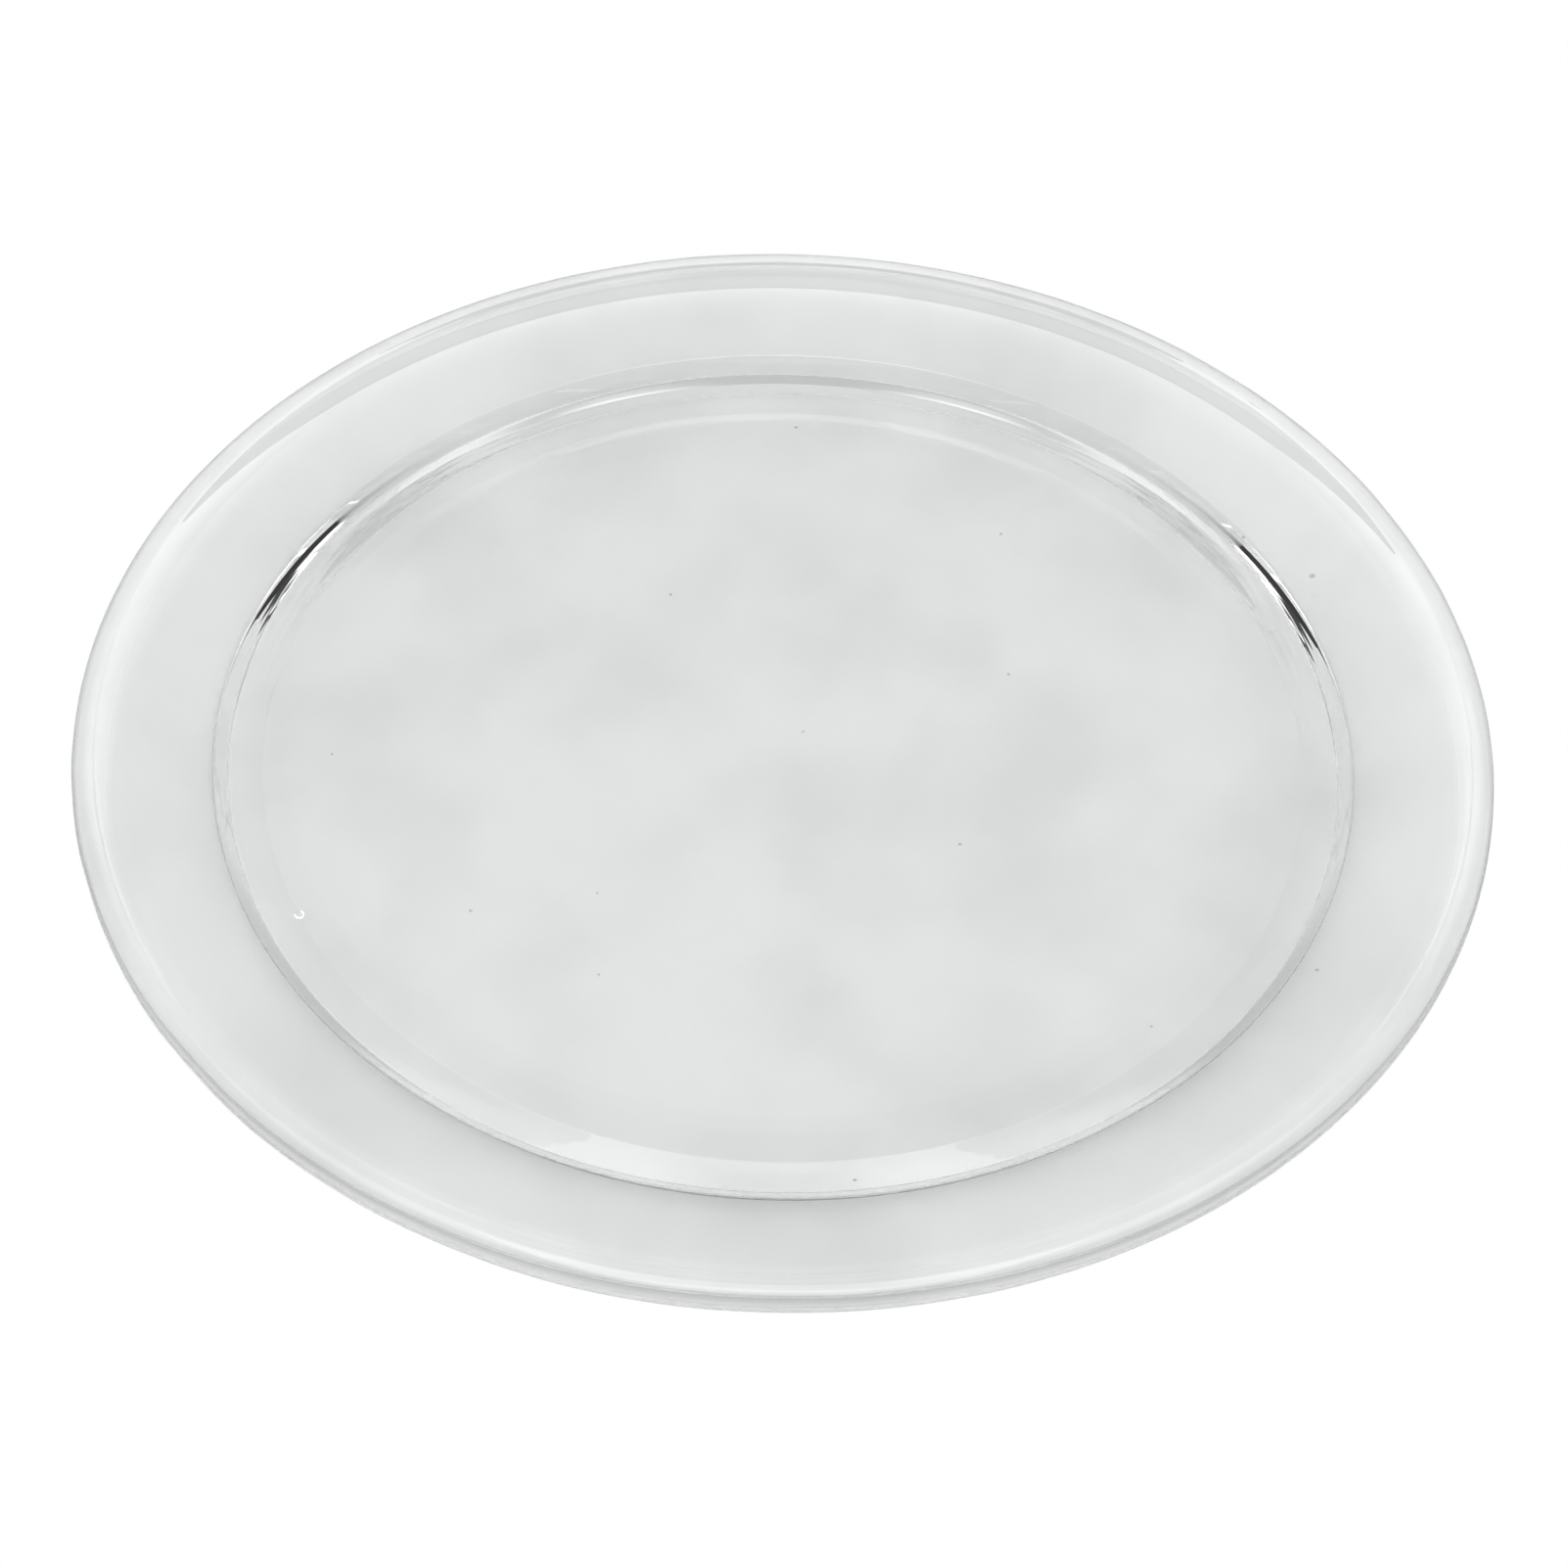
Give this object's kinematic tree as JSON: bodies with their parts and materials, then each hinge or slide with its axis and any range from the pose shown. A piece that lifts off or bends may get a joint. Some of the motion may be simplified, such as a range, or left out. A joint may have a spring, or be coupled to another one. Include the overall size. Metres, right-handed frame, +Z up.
{
  "type": "glass tray",
  "caption": "Round clear pressed-glass tray with a flat floor, sloping flange and rounded rim and a foot rail round its flat underside, made to turn on a roller ring in a microwave oven.",
  "frame": {"origin": "on the table under the tray's centre, in the plane its foot rail stands on", "axes": "+Z up along the tray's axis of revolution, +X and +Y in the plane of the table, with the picture taken from the -Y side"},
  "size_m": [0.245, 0.245, 0.0136],
  "materials": {
    "clear_glass": "fire-polished pressed glass, lightly scuffed from use"
  },
  "bodies": {
    "root": {"glass_tray": "clear_glass"}
  },
  "joints": []
}
